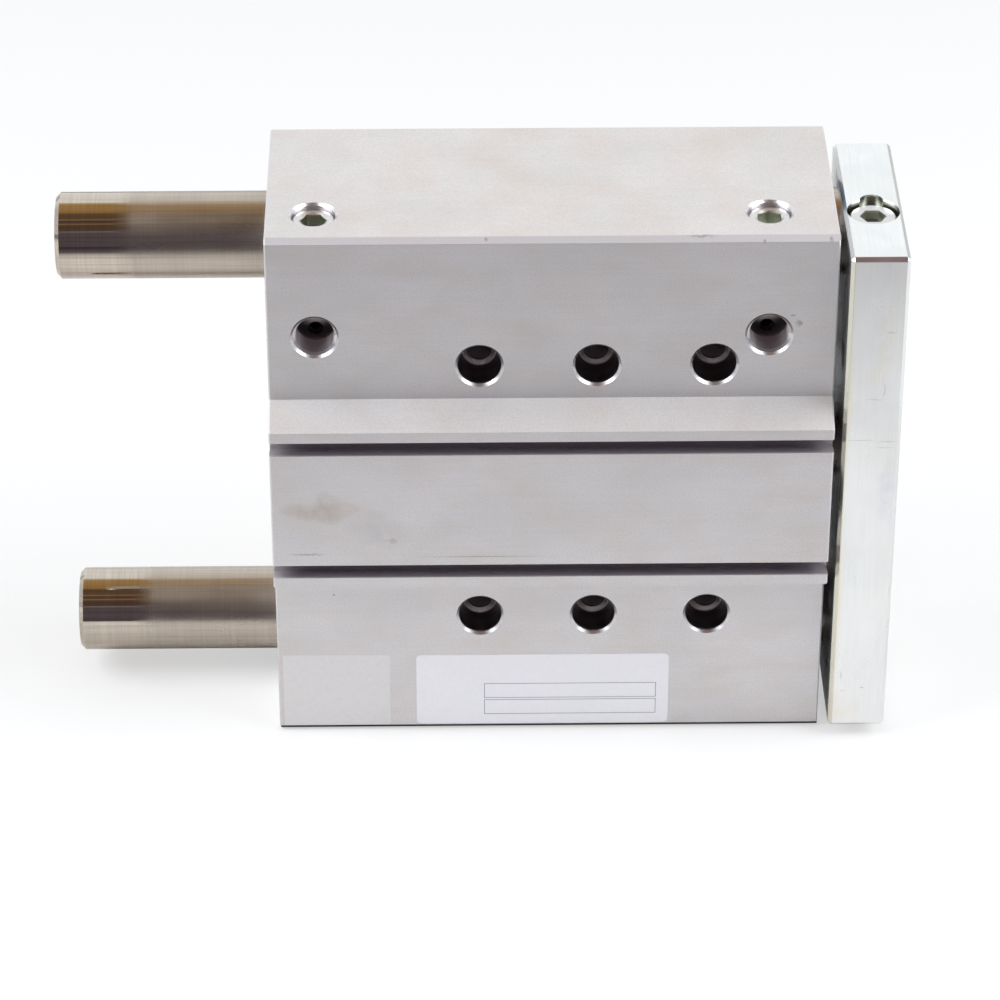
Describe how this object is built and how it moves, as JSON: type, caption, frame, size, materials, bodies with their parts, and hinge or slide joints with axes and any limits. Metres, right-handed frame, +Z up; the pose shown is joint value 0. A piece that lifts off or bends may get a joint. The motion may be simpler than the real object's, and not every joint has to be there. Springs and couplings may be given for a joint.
{
  "type": "guided pneumatic cylinder",
  "caption": "Compact air cylinder in a block housing between two parallel guide rods that carry a sliding yoke plate.",
  "frame": {"origin": "centre of the housing's lower narrow face, on which the part stands", "axes": "+X along the stroke towards the yoke plate, +Y towards the flat mounting face, +Z up"},
  "size_m": [0.2892, 0.091, 0.202],
  "materials": {
    "housing_aluminium": "extruded and machined, clear anodised, satin",
    "cap_aluminium": "turned, clear anodised",
    "ring_steel": "spring steel, phosphated dark grey",
    "rod_chrome": "hard chromed and ground, polished",
    "yoke_zinc": "ground steel plate, bright bluish zinc plating",
    "screw_zinc": "steel, zinc plated",
    "bush_bronze": "bronze-backed sliding bush",
    "seal_rubber": "nitrile rubber, black",
    "wiper_polyurethane": "polyurethane, dark grey-green",
    "wear_plastic": "filled fluoropolymer",
    "magnet_ferrite": "bonded ferrite"
  },
  "bodies": {
    "housing_body": {"housing": "housing_aluminium", "rear_cap": "cap_aluminium", "bearing_cap": "cap_aluminium", "rear_retaining_ring": "ring_steel", "front_retaining_ring": "ring_steel", "rear_cap_oring": "seal_rubber", "bearing_cap_oring": "seal_rubber", "rod_bush": "bush_bronze", "rod_seal": "seal_rubber", "rod_wiper": "wiper_polyurethane", "upper_front_bush": "bush_bronze", "upper_rear_bush": "bush_bronze", "lower_front_bush": "bush_bronze", "lower_rear_bush": "bush_bronze", "upper_front_wiper": "wiper_polyurethane", "upper_rear_wiper": "wiper_polyurethane", "lower_front_wiper": "wiper_polyurethane", "lower_rear_wiper": "wiper_polyurethane", "rear_port_plug": "screw_zinc", "front_port_plug": "screw_zinc"},
    "carriage": {"yoke_plate": "yoke_zinc", "upper_guide_rod": "rod_chrome", "lower_guide_rod": "rod_chrome", "upper_lock_screw": "screw_zinc", "lower_lock_screw": "screw_zinc", "yoke_centre_screw": "screw_zinc", "piston_rod": "rod_chrome", "piston_front_half": "cap_aluminium", "piston_rear_half": "cap_aluminium", "piston_magnet": "magnet_ferrite", "front_piston_seal": "wiper_polyurethane", "rear_piston_seal": "wiper_polyurethane", "piston_wear_ring": "wear_plastic", "front_bumper": "wiper_polyurethane", "rear_bumper": "wiper_polyurethane", "spigot_oring": "seal_rubber", "piston_screw": "screw_zinc"}
  },
  "joints": [
    {"name": "piston_slide", "type": "slide", "parent": "housing_body", "child": "carriage", "axis": [1, 0, 0], "range_m": [0, 0.125]}
  ]
}
